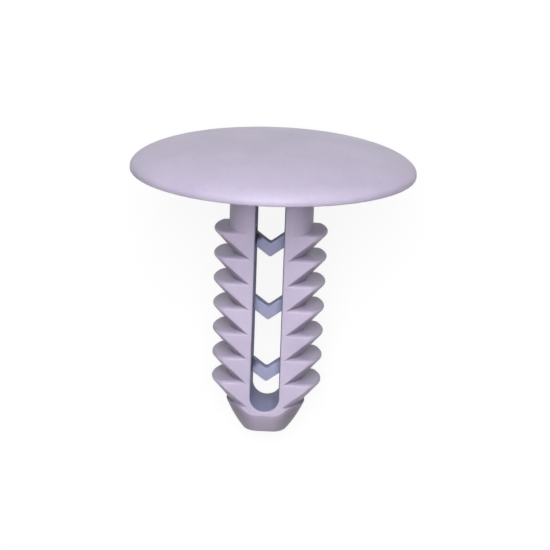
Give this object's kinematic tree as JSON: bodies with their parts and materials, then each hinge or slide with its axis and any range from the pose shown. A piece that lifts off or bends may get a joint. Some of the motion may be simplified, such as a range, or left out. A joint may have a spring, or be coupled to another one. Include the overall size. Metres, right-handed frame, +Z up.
{
  "type": "push-in trim clip",
  "caption": "One-piece push-in trim clip: a thin domed round head on a split, barbed shank braced by V-shaped webs, lying on its side.",
  "frame": {"origin": "on the ground, in the middle of the footprint of the clip as it lies", "axes": "+Y from the nose towards the head, +Z up, +X across the two legs"},
  "size_m": [0.025, 0.0282, 0.0229],
  "materials": {
    "moulded_nylon": "satin, as moulded"
  },
  "bodies": {
    "root": {"trim_clip": "moulded_nylon"}
  },
  "joints": []
}
